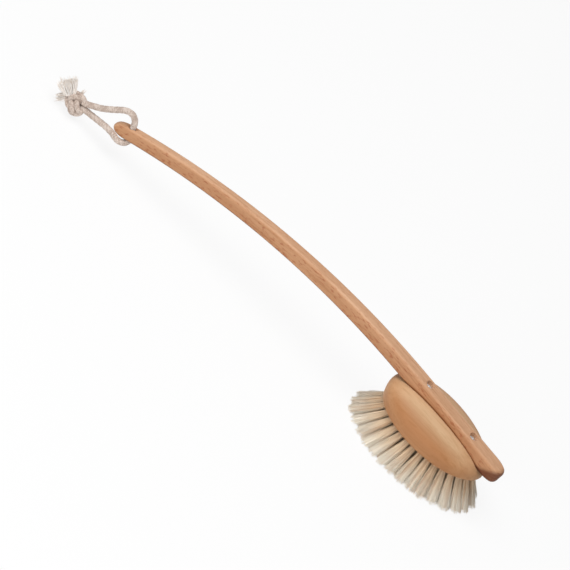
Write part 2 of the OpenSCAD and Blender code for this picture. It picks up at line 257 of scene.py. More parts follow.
class Tree:
    """A shader tree that is written as Python expressions."""

    def __init__(self, nodes: bpy.types.NodeTree, material: bpy.types.Material | None = None) -> None:
        """Empties the tree, which is a material's or the world's."""
        self.nodes = nodes
        self.material = material
        self.nodes.nodes.clear()

    @classmethod
    def for_material(cls, name: str) -> "Tree":
        """Makes a new material and returns its tree."""
        material = bpy.data.materials.new(name)
        material.use_nodes = True
        return cls(material.node_tree, material)

    def node(self, kind: str, settings: dict[str, Any] | None = None, sockets: dict[Any, Value] | None = None,
             out: Any = 0) -> Wire:
        """Adds a node.

        Args:
            kind: Blender's name for the node's type.
            settings: The node's properties, which are set first.
            sockets: Values or wires by socket name, identifier or number.
            out: Name, identifier or number of the output that is wanted.

        Returns:
            The wanted output.
        """
        made = self.nodes.nodes.new(kind)
        for key, value in (settings or {}).items():
            setattr(made, key, value)
        for key, value in (sockets or {}).items():
            socket = self._find(made.inputs, key)
            if isinstance(value, Wire):
                self.nodes.links.new(value.socket, socket)
            else:
                socket.default_value = value
        return Wire(self, self._find(made.outputs, out)) if made.outputs else Wire(self, None)

    @staticmethod
    def _find(sockets: Any, key: Any) -> bpy.types.NodeSocket:
        """Finds a socket by number, identifier or name."""
        if isinstance(key, int):
            return sockets[key]
        return next((s for s in sockets if s.identifier == key), None) or sockets[key]

    def math(self, operation: str, first: Value, second: Value) -> Wire:
        """Adds a Math node on two values."""
        return self.node("ShaderNodeMath", {"operation": operation}, {0: first, 1: second})

    def mix(self, factor: Value, low: Value, high: Value, mode: str = "MIX") -> Wire:
        """Mixes two colours.

        Args:
            factor: 0 gives the low colour and 1 the high one.
            low: The first colour.
            high: The second colour.
            mode: The blend mode.

        Returns:
            The mixed colour.
        """
        return self.node("ShaderNodeMix", {"data_type": "RGBA", "blend_type": mode},
                         {"Factor_Float": factor, "A_Color": low, "B_Color": high}, "Result_Color")

    def step(self, value: Wire, low: float, high: float) -> Wire:
        """Rises smoothly from 0 at low to 1 at high."""
        return self.node("ShaderNodeMapRange", {"interpolation_type": "SMOOTHSTEP"},
                         {"Value": value, "From Min": low, "From Max": high})

    def place(self, grain: Grain) -> Wire:
        """Gives the coordinates that a pattern lies in."""
        if grain is Grain.STRAIGHT:
            return self.node("ShaderNodeTexCoord", out="Object")
        return self.layer(grain.value, "Vector")

    def layer(self, name: str, out: str = "Fac") -> Wire:
        """Reads a layer that the mesh's points carry."""
        return self.node("ShaderNodeAttribute", {"attribute_name": name}, out=out)

    def stretched(self, where: Wire, scale: Sequence[float]) -> Wire:
        """Scales coordinates along each axis."""
        return self.node("ShaderNodeVectorMath", {"operation": "MULTIPLY"}, {0: where, 1: scale})

    def moved(self, where: Wire, push: Wire, amount: Sequence[float]) -> Wire:
        """Pushes coordinates by a colour that varies about mid grey, up to half the amount along each axis."""
        centred = self.node("ShaderNodeVectorMath", {"operation": "SUBTRACT"}, {0: push, 1: (0.5, 0.5, 0.5)})
        return self.node("ShaderNodeVectorMath", {"operation": "MULTIPLY_ADD"}, {0: centred, 1: amount, 2: where})

    def bump(self, height: Wire, strength: float, distance: float) -> Wire:
        """Turns a height into a normal."""
        return self.node("ShaderNodeBump", None, {"Strength": strength, "Distance": distance, "Height": height})

    def surface(self, sockets: dict[str, Value]) -> bpy.types.Material:
        """Ends the tree in a Principled shader.

        Args:
            sockets: Values or wires of the shader's sockets.

        Returns:
            The finished material.
        """
        shader = self.node("ShaderNodeBsdfPrincipled", None, sockets)
        self.node("ShaderNodeOutputMaterial", None, {"Surface": shader})
        return self.material


@dataclass(frozen=True)
class Pattern:
    """A noise: its scale per metre along each axis, and the part of its range that shows."""

    scale: Place
    detail: float = 2.0
    rough: float = 0.5
    low: float = 0.5
    high: float = 0.75

    def noise(self, tree: Tree, where: Wire, out: str = "Fac") -> Wire:
        """Lays the noise over coordinates in metres."""
        return tree.node("ShaderNodeTexNoise", None, {
            "Vector": tree.stretched(where, self.scale), "Scale": 1.0, "Detail": self.detail, "Roughness": self.rough,
        }, out)

    def shown(self, tree: Tree, noise: Wire) -> Wire:
        """Rises from 0 to 1 over the part of the noise that shows."""
        return tree.step(noise, self.low, self.high)


@dataclass(frozen=True)
class StainAndShade:
    """A darkening of the wood: mostly painted shade, in places real darkening too, such as end grain and a darker
    finish.

    The reach that begins and full are given in is a share of an oval's radii, or millimetres down a slant.
    """

    spread: Spread
    centre: Place
    scale: Place
    begins: float
    full: float
    tint: str

    def over(self, tree: Tree, where: Wire, colour: Wire) -> Wire:
        """Darkens a colour.

        Args:
            tree: The tree that takes the nodes.
            where: The wood's coordinates.
            colour: The wood's colour before it is darkened.

        Returns:
            The darkened colour.
        """
        arm = tree.node("ShaderNodeVectorMath", {"operation": "SUBTRACT"}, {0: where, 1: self.centre})
        if self.spread is Spread.OVAL:
            arm = tree.stretched(arm, self.scale)
        reach = tree.node("ShaderNodeVectorMath", {"operation": self.spread.value}, {0: arm, 1: self.scale}, "Value")
        return tree.mix(tree.step(reach, self.begins, self.full), colour, tone(self.tint), "MULTIPLY")


@dataclass(frozen=True)
class Wood:
    """Oiled wood with long wavy grain, pores and short flecks."""

    name: str
    pale: str
    middle: str
    deep: str
    fleck: str
    grain: Grain
    stains_and_shade: tuple[StainAndShade, ...]
    fleck_share: float = 0.5
    band_share: float = 0.5
    roughness: float = 0.5
    # The tint of a bent stick's sides: painted shade.
    shaded_flank: str = "ffffff"

    DRIFT: ClassVar[Pattern] = Pattern((22, 90, 90))
    WAVES: ClassVar[Place] = (0.0, 4 * MM, 4 * MM)
    BROAD: ClassVar[Pattern] = Pattern((7, 95, 95), 3, 0.55, 0.35, 0.68)
    BANDS: ClassVar[Pattern] = Pattern((14, 420, 420), 4, 0.6, 0.46, 0.7)
    FIBRES: ClassVar[Pattern] = Pattern((70, 2200, 2200), 3, 0.6, 0.5, 0.8)
    FLECKS: ClassVar[Pattern] = Pattern((170, 620, 620), 2, 0.5, 0.53, 0.69)
    FIBRE_SHARE: ClassVar[float] = 0.6
    FLANK_EDGE: ClassVar[Span] = (0.8, 1.0)
    BACK_FLECKS: ClassVar[float] = 0.35

    def material(self) -> bpy.types.Material:
        """Makes the material; a bent stick's sides are tinted darker than its back (painted shade that leaves the back
        lighter, as if it caught a sheen from above) and carry more flecks than its back.
        """
        tree = Tree.for_material(self.name)
        where = tree.place(self.grain)
        wavy = tree.moved(where, self.DRIFT.noise(tree, where, "Color"), self.WAVES)
        broad, bands, fibres, flecks = (
            pattern.noise(tree, wavy) for pattern in (self.BROAD, self.BANDS, self.FIBRES, self.FLECKS))
        threads = self.FIBRES.shown(tree, fibres) * (self.FIBRE_SHARE * self.band_share)
        spots = self.FLECKS.shown(tree, flecks) * self.fleck_share
        colour = tree.mix(self.BROAD.shown(tree, broad), tone(self.middle), tone(self.pale))
        colour = tree.mix(self.BANDS.shown(tree, bands) * self.band_share, colour, tone(self.deep))
        colour = tree.mix(threads, colour, tone(self.deep))
        if self.grain is Grain.BENT:
            # Painted shade on the sides, which leaves the back lighter.
            side = tree.step(tree.layer("shaded_flank"), *self.FLANK_EDGE)
            colour = tree.mix(side, colour, tone(self.shaded_flank), "MULTIPLY")
            spots = spots * (self.BACK_FLECKS + (1 - self.BACK_FLECKS) * side)
        colour = tree.mix(spots, colour, tone(self.fleck))
        # Stains and painted shade, laid over one after another.
        for darkener in self.stains_and_shade:
            colour = darkener.over(tree, where, colour)
        height = 1.0 - (0.6 * fibres + 0.6 * spots + 0.3 * bands)
        return tree.surface({
            "Base Color": colour,
            "Roughness": self.roughness - 0.1 + 0.2 * bands,
            "Specular IOR Level": 0.2,
            "Normal": tree.bump(height, 0.25, 0.0004),
        })


@dataclass(frozen=True)
class Fibre:
    """Stiff plant hairs, with painted shade that darkens them towards the wood they are set in."""

    name: str = "plant_fibre"
    tip: str = "fff8ea"
    shaft: str = "f8e3c6"
    # Painted shade near the wood, and the tone that dark hairs take.
    root: str = "c69664"

    TIP_ZONE: ClassVar[Span] = (4 * MM, 22 * MM)
    ROOT_SHADE_ZONE: ClassVar[Span] = (18 * MM, FACE_Z)
    SHADE_ZONE: ClassVar[Span] = (3 * MM, 22 * MM)
    DARK_TINTS: ClassVar[Span] = (0.4, 1.0)
    STREAKS: ClassVar[Pattern] = Pattern((900, 900, 160), high=0.8)

    def material(self) -> bpy.types.Material:
        """Makes the material from the hairs' own tint and their height; the height gradient is painted light and
        shade, lightest at the tips and darkest near the wood, and dark hairs, the fibre's own tone, take more painted
        shade near their roots.
        """
        tree = Tree.for_material(self.name)
        where = tree.place(Grain.STRAIGHT)
        height = tree.node("ShaderNodeSeparateXYZ", None, {0: where}, "Z")
        streak = self.STREAKS.noise(tree, where)
        # Dark hairs are the fibre's own tone; their share that grows towards the wood is painted shade.
        dark = tree.step(tree.layer("tint"), *self.DARK_TINTS) * (0.36 + 0.3 * tree.step(height, *self.SHADE_ZONE))
        # Painted light and shade by height: lightest at the tips, darkest near the wood.
        colour = tree.mix(tree.step(height, *self.TIP_ZONE), tone(self.tip), tone(self.shaft))
        colour = tree.mix(tree.step(height, *self.ROOT_SHADE_ZONE) * 0.6, colour, tone(self.root))
        colour = tree.mix(dark, colour, tone(self.root))
        colour = tree.mix(self.STREAKS.shown(tree, streak) * 0.3, colour, tone(self.shaft))
        return tree.surface({
            "Base Color": colour,
            "Roughness": 0.5 + 0.25 * streak,
            "Specular IOR Level": 0.3,
        })


@dataclass(frozen=True)
class Cotton:
    """Unbleached cotton yarn."""

    name: str
    pale: str
    shade: str

    FUZZ: ClassVar[Pattern] = Pattern((2600, 2600, 2600), 3, 0.6)
    PATCHES: ClassVar[Pattern] = Pattern((140, 140, 140))
    DARK_TINTS: ClassVar[Span] = (0.2, 1.0)

    def material(self) -> bpy.types.Material:
        """Makes the material from the strands' own tint, soft patches and fine fuzz."""
        tree = Tree.for_material(self.name)
        where = tree.place(Grain.STRAIGHT)
        fuzz = self.FUZZ.noise(tree, where)
        patches = self.PATCHES.shown(tree, self.PATCHES.noise(tree, where))
        dark = tree.step(tree.layer("tint"), *self.DARK_TINTS)
        colour = tree.mix(dark * 0.55, tone(self.pale), tone(self.shade))
        colour = tree.mix(patches * 0.4, colour, tone(self.shade))
        colour = tree.mix(self.FUZZ.shown(tree, fuzz) * 0.3, colour, tone(self.shade))
        return tree.surface({
            "Base Color": colour,
            "Roughness": 0.85 + 0.1 * fuzz,
            "Specular IOR Level": 0.15,
            "Sheen Weight": 0.15,
            "Normal": tree.bump(fuzz, 0.3, 0.0003),
        })


@dataclass(frozen=True)
class Steel:
    """Bright plated steel with fine wear."""

    name: str
    colour: str
    worn: str

    WEAR: ClassVar[Pattern] = Pattern((700, 700, 700), 4, 0.6, 0.4)
    LINES: ClassVar[Pattern] = Pattern((300, 6000, 6000))

    def material(self) -> bpy.types.Material:
        """Makes the material."""
        tree = Tree.for_material(self.name)
        where = tree.place(Grain.STRAIGHT)
        wear = self.WEAR.noise(tree, where)
        lines = self.LINES.noise(tree, where)
        colour = tree.mix(self.WEAR.shown(tree, wear) * 0.6, tone(self.colour), tone(self.worn))
        return tree.surface({
            "Base Color": colour,
            "Metallic": 1.0,
            "Roughness": 0.1 + 0.15 * wear,
            "Normal": tree.bump(lines, 0.1, 0.0001),
        })


def add_piece(name: str, mesh: bmesh.types.BMesh) -> bpy.types.Object:
    """Makes an object of a bmesh, at the origin.

    Args:
        name: The piece's name.
        mesh: The shape, which is freed.

    Returns:
        The new object.
    """
    data = bpy.data.meshes.new(name)
    mesh.to_mesh(data)
    mesh.free()
    piece = bpy.data.objects.new(name, data)
    bpy.context.scene.collection.objects.link(piece)
    return piece


def merged_copy(node: str, name: str, sharp: float) -> bpy.types.Object:
    """Copies a CAD node with its seams merged and its rounds shaded smooth.

    Args:
        node: The CAD node.
        name: The new piece's name.
        sharp: Edges that turn more than this stay sharp, in degrees.

    Returns:
        The copy.
    """
    mesh = bmesh.new()
    mesh.from_mesh(frame["nodes"][node].data)
    bmesh.ops.remove_doubles(mesh, verts=mesh.verts, dist=SEAM_GAP)
    for face in mesh.faces:
        face.smooth = True
    for edge in mesh.edges:
        edge.smooth = edge.calc_face_angle(0.0) < math.radians(sharp)
    piece = add_piece(name, mesh)
    even = piece.modifiers.new("even_shading", "WEIGHTED_NORMAL")
    even.keep_sharp = True
    return piece


def present(piece: bpy.types.Object, body: Body, slot: Slot, material: bpy.types.Material, *nodes: str) -> None:
    """Gives a piece its finish and its place in the frame.

    Args:
        piece: The finished piece.
        body: The body that it rides on.
        slot: The record's material slot.
        material: Its material.
        nodes: The CAD nodes that it stands for.
    """
    piece.data.materials.clear()
    piece.data.materials.append(material)
    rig.ride(piece, body.value)
    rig.slot(piece, slot.value)
    if nodes:
        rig.replaces(piece, *nodes)
    LOG.info("%s: %d faces on %s", piece.name, len(piece.data.polygons), body.value)


@dataclass(frozen=True)
class StickLine:
    """The stick's middle line: straight over the head, then one long even bend."""

    pitch: float = math.radians(7)
    radius: float = 770 * MM
    straight: float = 40 * MM
    thick: float = 15.6 * MM
    seat: Span = (-0.7 * MM, 16.7 * MM)
    hole: float = 372 * MM
    ends: Span = (-70 * MM, 389 * MM)
    widths: Span = (16.5 * MM, 8.5 * MM)

    def _turned(self, slope: float) -> tuple[Vector, Vector]:
        """Gives the directions along the stick and out of its back at a slope."""
        return Vector((-math.cos(slope), 0, math.sin(slope))), Vector((math.sin(slope), 0, math.cos(slope)))

    def start(self) -> Vector:
        """Gives the middle of the stick over the head's seat."""
        _, back = self._turned(self.pitch)
        return Vector((HEAD_X + self.seat[0], 0, FACE_Z + self.seat[1])) + back * (self.thick / 2)

    def centre(self) -> Vector:
        """Gives the middle of the bend's circle."""
        along, back = self._turned(self.pitch)
        return self.start() + along * self.straight - back * self.radius

    def at(self, run: float) -> tuple[Vector, Vector, Vector]:
        """Finds a place on the line.

        Args:
            run: Distance along the line from the seat.

        Returns:
            The point, the direction along the stick and the direction out of its back.
        """
        slope = self.pitch - max(0.0, run - self.straight) / self.radius
        along, back = self._turned(slope)
        if run <= self.straight:
            return self.start() + along * run, along, back
        return self.centre() + back * self.radius, along, back

    def half_wide(self, run: float) -> float:
        """Gives half the stick's width, which tapers from its toe to its hanging end."""
        share = (run - self.ends[0]) / (self.ends[1] - self.ends[0])
        return (self.widths[0] + (self.widths[1] - self.widths[0]) * share) / 2

    def unbent(self, point: Vector) -> Place:
        """Gives a point's place along, across and out of the bent stick.

        Args:
            point: A point in the frame.

        Returns:
            Distance along the line, across it, and out of the back.
        """
        arm = point - self.centre()
        turn = math.atan2(arm.x, arm.z)
        if turn < self.pitch:
            return self.straight + self.radius * (self.pitch - turn), point.y, math.hypot(arm.x, arm.z) - self.radius
        along, back = self._turned(self.pitch)
        arm = point - self.start()
        return arm.dot(along), point.y, arm.dot(back)


class Line:
    """A smooth line through space with a frame carried along it."""

    def __init__(self, points: Sequence[Vector], step: float) -> None:
        """Lays a smooth line through points.

        Args:
            points: The points that it goes through.
            step: About how far apart its own points are.
        """
        self.points = [points[0].copy()]
        for i, (near, far) in enumerate(zip(points, points[1:])):
            before, after = points[max(i - 1, 0)], points[min(i + 2, len(points) - 1)]
            count = max(2, round((far - near).length / step))
            self.points += [self._blend(before, near, far, after, k / count) for k in range(1, count + 1)]
        self.runs = [0.0]
        for near, far in zip(self.points, self.points[1:]):
            self.runs.append(self.runs[-1] + (far - near).length)
        self.length = self.runs[-1]
        self._carry_frame()

    @staticmethod
    def _blend(a: Vector, b: Vector, c: Vector, d: Vector, t: float) -> Vector:
        """Gives a point between b and c on a smooth line through four points."""
        return 0.5 * (2 * b + (c - a) * t + (2 * a - 5 * b + 4 * c - d) * t * t + (3 * b - a - 3 * c + d) * t ** 3)

    def _carry_frame(self) -> None:
        """Carries a side direction along the line without twisting it."""
        befores = self.points[:1] + self.points[:-1]
        afters = self.points[1:] + self.points[-1:]
        self.ways = [(after - before).normalized() for before, after in zip(befores, afters)]
        side = self.ways[0].orthogonal().normalized()
        self.sides = []
        for way in self.ways:
            side = (side - way * side.dot(way)).normalized()
            self.sides.append(side)

    def at(self, run: float) -> tuple[Vector, Vector, Vector]:
        """Finds a place on the line.

        Args:
            run: Distance along the line.

        Returns:
            The point and two directions square to the line.
        """
        share = min(max(run / self.length, 0.0), 1.0) * (len(self.points) - 1)
        low = min(max(int(share), 0), len(self.points) - 2)
        while low > 0 and self.runs[low] > run:
            low -= 1
        while low < len(self.points) - 2 and self.runs[low + 1] < run:
            low += 1
        part = (run - self.runs[low]) / max(self.runs[low + 1] - self.runs[low], TINY)
        way = self.ways[low].lerp(self.ways[low + 1], part).normalized()
        side = self.sides[low].lerp(self.sides[low + 1], part).normalized()
        return self.points[low].lerp(self.points[low + 1], part), side, way.cross(side)


def new_strands() -> bmesh.types.BMesh:
    """Starts a bmesh whose points carry a tint."""
    mesh = bmesh.new()
    mesh.verts.layers.float.new("tint")
    return mesh


def upright_cone(mesh: bmesh.types.BMesh, sides: int, top: float, cuts: int, fan_caps: bool) -> None:
    """Fills an empty bmesh with a cone from 0 to 1 along Z; sharp rims keep its flat ends from shading its side.

    Args:
        mesh: The empty bmesh.
        sides: How many sides the cone has.
        top: Its radius at the top; at the bottom it is 1.
        cuts: Cuts across its long edges.
        fan_caps: Whether its ends are fans of triangles.
    """
    middle = 0.5
    bmesh.ops.create_cone(mesh, segments=sides, radius1=1.0, radius2=top, depth=1.0, cap_ends=True,
                          cap_tris=fan_caps, matrix=Matrix.Translation((0, 0, middle)))
    long_edges = [e for e in mesh.edges if abs(e.verts[0].co.z - e.verts[1].co.z) > middle]
    for edge in mesh.edges:
        edge.smooth = edge in long_edges
    bmesh.ops.subdivide_edges(mesh, edges=long_edges, cuts=cuts, use_grid_fill=True)


def bowed(root: Vector, bow: Vector, tip: Vector, share: float) -> Vector:
    """Gives the point at a share of the way from root to tip on a curve that bow bends."""
    return root * (1 - share) ** 2 + bow * (2 * share * (1 - share)) + tip * share ** 2


def gather(whole: bmesh.types.BMesh, part: bmesh.types.BMesh) -> None:
    """Adds a bmesh to a larger one and frees it; many small ones are quicker than one that grows."""
    carrier = bpy.data.meshes.new("carrier")
    part.to_mesh(carrier)
    part.free()
    whole.from_mesh(carrier)
    bpy.data.meshes.remove(carrier)


def smooth_outside(mesh: bmesh.types.BMesh) -> None:
    """Turns faces outwards and shades them smooth."""
    bmesh.ops.recalc_face_normals(mesh, faces=mesh.faces)
    for face in mesh.faces:
        face.smooth = True


def settle(mesh: bmesh.types.BMesh) -> None:
    """Sorts points and faces by place, so that they have the same order in every run."""
    points = (mesh.verts, lambda vert: vert.co[:])
    faces = (mesh.faces, lambda face: face.calc_center_median()[:])
    for items, place in (points, faces):
        for rank, item in enumerate(sorted(items, key=place)):
            item.index = rank
        items.sort()


def close_strands(mesh: bmesh.types.BMesh) -> None:
    """Closes open ends and finishes the faces."""
    bmesh.ops.holes_fill(mesh, edges=[e for e in mesh.edges if e.is_boundary], sides=0)
    smooth_outside(mesh)
    settle(mesh)


@dataclass(frozen=True)
class Braid:
    """A braided cover of flat strands round a core."""

    radius: float = 2.35 * MM
    weave: float = 0.25 * MM
    half_thick: float = 0.42 * MM
    half_wide: float = 0.92 * MM
    carriers: int = 8
    lay: float = 15 * MM
    ring_gap: float = 0.8 * MM
    core: float = 2.2 * MM
    sides: int = 6
    core_sides: int = 10
    fewest_rings: int = 8

    def along(self, mesh: bmesh.types.BMesh, line: Line, dice: random.Random) -> None:
        """Lays the braid along a line.

        Args:
            mesh: The bmesh that takes the strands; it has a float layer named tint.
            line: The middle line.
            dice: The random source of the strands' tints.
        """
        steps = max(self.fewest_rings, round(line.length / self.ring_gap))
        flat = Matrix(((0, 0, 1, 0), (self.half_thick, 0, 0, self.radius), (0, self.half_wide, 0, 0), (0, 0, 0, 1)))
        for way in (1, -1):
            for k in range(self.carriers):
                turn = Matrix.Rotation(math.tau * k / self.carriers, 4, "X")
                self._strand(mesh, line, steps, turn @ flat, self.sides, way, dice.random())
        rod = Matrix(((0, 0, 1, 0), (self.core, 0, 0, 0), (0, self.core, 0, 0), (0, 0, 0, 1)))
        # The core takes the darkest tint: painted shade in the gaps between the strands.
        self._strand(mesh, line, steps, rod, self.core_sides, 0, 1.0)

    def _strand(self, mesh: bmesh.types.BMesh, line: Line, steps: int, ring: Matrix, sides: int, way: int,
                tint: float) -> None:
        """Spins one strand along X and bends it onto the line.

        Args:
            mesh: The bmesh that takes the strand.
            line: The middle line.
            steps: Rings along it.
            ring: Shape and place of the first ring.
            sides: Sides of the strand.
            way: 1 or -1 for the two ways round, 0 for the core.
            tint: The strand's own tint.
        """
        part = new_strands()
        bmesh.ops.create_circle(part, segments=sides, radius=1.0, matrix=ring)
        bmesh.ops.spin(part, geom=part.verts[:] + part.edges[:], cent=(0, 0, 0), axis=(1, 0, 0),
                       dvec=(line.length / steps, 0, 0), angle=way * math.tau * line.length / self.lay,
                       steps=steps, use_merge=False, use_duplicate=False)
        layer = part.verts.layers.float["tint"]
        for vert in part.verts:
            run = vert.co.x
            point, side, cross = line.at(run)
            lift = way * self.weave * math.cos(self.carriers * math.tau * run / self.lay)
            grown = 1 + lift / max(math.hypot(vert.co.y, vert.co.z), TINY)
            vert.co = point + (side * vert.co.y + cross * vert.co.z) * grown
            vert[layer] = tint
        gather(mesh, part)


@dataclass(frozen=True)
class Hair:
    """A tapered hair that is copied along bent lines."""

    sides: int = 3
    cuts: int = 2
    taper: float = 0.55

    def bundle(self, lines: Sequence[tuple[Sequence[Vector], float, float]]) -> bmesh.types.BMesh:
        """Copies the hair along each line.

        Args:
            lines: For each hair its three control points, its radius and its tint.

        Returns:
            A bmesh of all the hairs.
        """
        mesh = new_strands()
        layer = mesh.verts.layers.float["tint"]
        upright_cone(mesh, self.sides, self.taper, self.cuts, False)
        pattern = mesh.verts[:] + mesh.edges[:] + mesh.faces[:]
        for (root, bow, tip), radius, tint in lines:
            copy = bmesh.ops.duplicate(mesh, geom=pattern)["geom"]
            side = (tip - root).orthogonal().normalized()
            cross = (tip - root).normalized().cross(side)
            for vert in copy:
                if isinstance(vert, bmesh.types.BMVert):
                    middle = bowed(root, bow, tip, vert.co.z)
                    vert.co = middle + (side * vert.co.x + cross * vert.co.y) * radius
                    vert[layer] = tint
        bmesh.ops.delete(mesh, geom=[g for g in pattern if isinstance(g, bmesh.types.BMVert)], context="VERTS")
        return mesh


@dataclass(frozen=True)
class Gaze:
    """The direction that the photograph was taken from."""

    azimuth: float = math.radians(9)
    elevation: float = math.radians(38)
    roll: float = math.radians(39.2)

    def axes(self) -> tuple[Vector, Vector, Vector]:
        """Gives the picture's right, its up and the way out of it towards the eye."""
        out = Vector((math.sin(self.azimuth) * math.cos(self.elevation),
                      -math.cos(self.azimuth) * math.cos(self.elevation), math.sin(self.elevation)))
        level = Vector((math.cos(self.azimuth), math.sin(self.azimuth), 0))
        upright = out.cross(level)
        right = level * math.cos(self.roll) + upright * math.sin(self.roll)
        return right, upright * math.cos(self.roll) - level * math.sin(self.roll), out


@dataclass(frozen=True)
class Lamp:
    """A square soft lamp that faces the frame's origin; metres and watts."""

    name: str
    place: Place
    size: float
    power: float

    def build(self) -> None:
        """Adds the lamp to the scene."""
        data = bpy.data.lights.new(self.name, "AREA")
        data.size = self.size
        data.energy = self.power
        lamp = bpy.data.objects.new(self.name, data)
        lamp.location = self.place
        lamp.rotation_euler = (-Vector(self.place)).to_track_quat("-Z", "Y").to_euler()
        bpy.context.scene.collection.objects.link(lamp)


@dataclass
class Studio:
    """White studio: floor, soft lamps and a long-lens camera at the photograph's angle."""

    gaze: Gaze
    lens: float = 800.0
    sensor: float = 36.0
    clip: Span = (0.1, 100.0)
    view_width: float = 488.5 * MM
    offset: Span = (-143.44 * MM, 107.66 * MM)
    lamps: tuple[Lamp, ...] = (Lamp("key_lamp", (-0.35, -0.3, 1.6), 1.3, 21.0),
                               Lamp("front_lamp", (0.05, -1.4, 0.3), 1.2, 9.0))
    fill: float = 0.28
    floor_half: float = 12.0
    floor_drop: float = 0.3 * MM
    floor_white: float = 0.85

    def build(self, aim: Vector) -> None:
        """Makes the camera, the floor, the lamps and the world.

        Args:
            aim: The point that the picture is placed by, on the stick's back over the head.
        """
        self._camera(aim)
        self._floor()
        for lamp in self.lamps:
            lamp.build()
        self._world()
        bpy.context.scene.view_settings.view_transform = "Standard"

    def _camera(self, aim: Vector) -> None:
        """Places the camera."""
        right, up, out = self.gaze.axes()
        away = self.view_width * self.lens / self.sensor
        data = bpy.data.cameras.new("studio_camera")
        data.lens = self.lens
        data.sensor_width = self.sensor
        data.clip_start, data.clip_end = self.clip
        camera = bpy.data.objects.new("studio_camera", data)
        place = aim + right * self.offset[0] + up * self.offset[1] + out * away
        camera.matrix_world = Matrix.Translation(place) @ Matrix((right, up, out)).transposed().to_4x4()
        bpy.context.scene.collection.objects.link(camera)
        bpy.context.scene.camera = camera

    @staticmethod
    def _seen(tree: Tree) -> Wire:
        """Gives 1 for the camera and for what metal mirrors, and 0 for the light on the object."""
        paths = [tree.node("ShaderNodeLightPath", out=name)
                 for name in ("Is Camera Ray", "Is Glossy Ray", "Is Transmission Ray")]
        return tree.math("MAXIMUM", tree.math("MAXIMUM", paths[0], paths[1]), paths[2])

    def _floor(self) -> None:
        """Makes a white floor that keeps a faint shadow."""
        mesh = bmesh.new()
        bmesh.ops.create_grid(mesh, x_segments=1, y_segments=1, size=self.floor_half,
                              matrix=Matrix.Translation((0, 0, -self.floor_drop)))
        floor = add_piece("studio_floor", mesh)
        tree = Tree.for_material("studio_floor")
        paper = tree.node("ShaderNodeBsdfDiffuse", None, {"Color": tone("f4f4f4")})
        white = tree.node("ShaderNodeEmission", None, {"Color": WHITE, "Strength": 1.0})
        both = tree.node("ShaderNodeMixShader", None, {0: self._seen(tree) * self.floor_white, 1: paper, 2: white})
        tree.node("ShaderNodeOutputMaterial", None, {"Surface": both})
        floor.data.materials.append(tree.material)
        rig.stage(floor)

    def _world(self) -> None:
        """Makes a world that lights softly and looks white."""
        world = bpy.data.worlds.new("studio_world")
        world.use_nodes = True
        bpy.context.scene.world = world
        tree = Tree(world.node_tree)
        light = tree.node("ShaderNodeBackground", None, {"Color": WHITE, "Strength": self.fill})
        white = tree.node("ShaderNodeBackground", None, {"Color": WHITE, "Strength": 1.0})
        both = tree.node("ShaderNodeMixShader", None, {0: self._seen(tree), 1: light, 2: white})
        tree.node("ShaderNodeOutputWorld", None, {"Surface": both})


@dataclass(frozen=True)
class Fray:
    """A frayed end of the cord, in millimetres of the knot's layout; a few of its yarns outreach the rest."""

    root: Place
    tip: Place
    root_radius: float
    tip_radius: float
    count: int

    EVEN_SHARE: ClassVar[float] = 0.93
    EVEN_REACH: ClassVar[Span] = (0.82, 1.0)
    LONG_REACH: ClassVar[Span] = (1.05, 1.25)
    ROUNDING: ClassVar[float] = 0.12
    SWELL: ClassVar[float] = 0.8
    CURL: ClassVar[float] = 0.5
    YARN_RADII: ClassVar[Span] = (0.24, 0.4)
    YARN: ClassVar[Hair] = Hair(sides=5, cuts=7)

    def build(self, name: str, layout: Matrix, dice: random.Random) -> bpy.types.Object:
        """Fans loose yarns out of the knot.

        Args:
            name: The piece's name.
            layout: Places points in the frame.
            dice: The random source.

        Returns:
            The frayed tail.
        """
        root, tip = Vector(self.root), Vector(self.tip)
        axis = (tip - root).normalized()
        side = axis.orthogonal().normalized()
        cross = axis.cross(side)
        lines = []
        for _ in range(self.count):
            spot, turn = math.sqrt(dice.random()), dice.uniform(0, math.tau)
            off = (side * math.cos(turn) + cross * math.sin(turn)) * spot
            start = root + off * self.root_radius
            reach = dice.uniform(*(self.EVEN_REACH if dice.random() < self.EVEN_SHARE else self.LONG_REACH))
            reach *= 1 - self.ROUNDING * spot ** 2
            end = start + (tip + off * self.tip_radius - start) * reach + self._curl(dice)
            bow = start.lerp(end, 0.5) + off * self.SWELL + self._curl(dice)
            places = [layout @ place for place in (start, bow, end)]
            lines.append((places, dice.uniform(*self.YARN_RADII) * MM, dice.random()))
        mesh = self.YARN.bundle(lines)
        close_strands(mesh)
        return add_piece(name, mesh)

    def _curl(self, dice: random.Random) -> Vector:
        """Draws how far a yarn strays."""
        return Vector([dice.gauss(0, self.CURL) for _ in range(3)])


